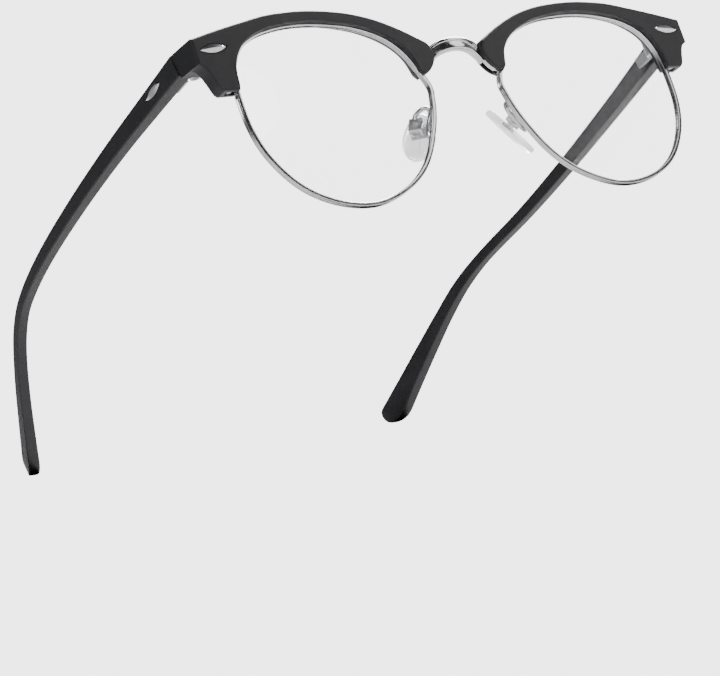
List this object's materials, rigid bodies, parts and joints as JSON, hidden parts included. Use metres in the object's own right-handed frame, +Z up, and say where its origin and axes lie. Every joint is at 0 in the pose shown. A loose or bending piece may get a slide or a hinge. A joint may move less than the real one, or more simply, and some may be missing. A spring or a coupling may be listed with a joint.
{
  "type": "half rim eyeglasses",
  "caption": "browline eyeglasses: black plastic brows over silver metal rims with clear lenses, arched metal bridge, rocking nose pads and folding black temples",
  "frame": {"origin": "on the standing plane, under the middle of the glasses' box: below the nose in X, halfway from the front's face to the temple tips in Y", "axes": "+X to the wearer's left, -Y the way the wearer looks, +Z up; the glasses stand on the eyewires' bottoms and the temple tips; left and right halves mirror across X = 0"},
  "size_m": [0.1504, 0.144, 0.0477],
  "materials": {
    "brow": "satin black moulded plastic",
    "temple": "satin black moulded plastic",
    "eyewire": "polished silver plating",
    "bridge": "polished silver plating",
    "plaque": "polished silver plating",
    "hinge": "plain steel",
    "screw": "plain steel",
    "lens": "clear plain lens",
    "pad": "clear soft pad",
    "pad_lug": "clear hard plastic",
    "pad_arm": "polished silver plating"
  },
  "bodies": {
    "front": {"browline_left": "brow", "browline_right": "brow", "rim_left": "eyewire", "rim_right": "eyewire", "lens_left": "lens", "lens_right": "lens", "bridge": "bridge", "bridge_plate_left": "bridge", "bridge_plate_right": "bridge", "plate_screws": "screw", "rim_lock_left": "eyewire", "rim_lock_right": "eyewire", "rim_lock_screws": "screw", "front_plaque_left": "plaque", "front_plaque_right": "plaque", "hinge_front_left": "hinge", "hinge_front_right": "hinge", "hinge_screws": "screw", "pad_arm_left": "pad_arm", "pad_arm_right": "pad_arm", "pad_box_left": "pad_arm", "pad_box_right": "pad_arm", "pad_screws": "screw"},
    "temple_left": {"temple_left": "temple", "hinge_temple_left": "hinge", "temple_plaque_left": "plaque"},
    "nose_pad_left": {"nose_pad_left": "pad", "pad_lug_left": "pad_lug"},
    "temple_right": {"temple_right": "temple", "hinge_temple_right": "hinge", "temple_plaque_right": "plaque"},
    "nose_pad_right": {"nose_pad_right": "pad", "pad_lug_right": "pad_lug"}
  },
  "joints": [
    {"name": "temple_left_hinge", "type": "hinge", "parent": "front", "child": "temple_left", "pos_m": [0.067, -0.063, 0.039], "axis": [0, 0, 1], "range_deg": [0, 84]},
    {"name": "temple_right_hinge", "type": "hinge", "parent": "front", "child": "temple_right", "pos_m": [-0.067, -0.063, 0.039], "axis": [0, 0, -1], "range_deg": [0, 77]},
    {"name": "nose_pad_left_rock", "type": "hinge", "parent": "front", "child": "nose_pad_left", "pos_m": [0.01413, -0.06407, 0.02017], "axis": [0.6179, 0.7364, 0.2756], "range_deg": [-8, 8]},
    {"name": "nose_pad_right_rock", "type": "hinge", "parent": "front", "child": "nose_pad_right", "pos_m": [-0.01413, -0.06407, 0.02017], "axis": [0.6179, -0.7364, -0.2756], "range_deg": [-8, 8]}
  ]
}
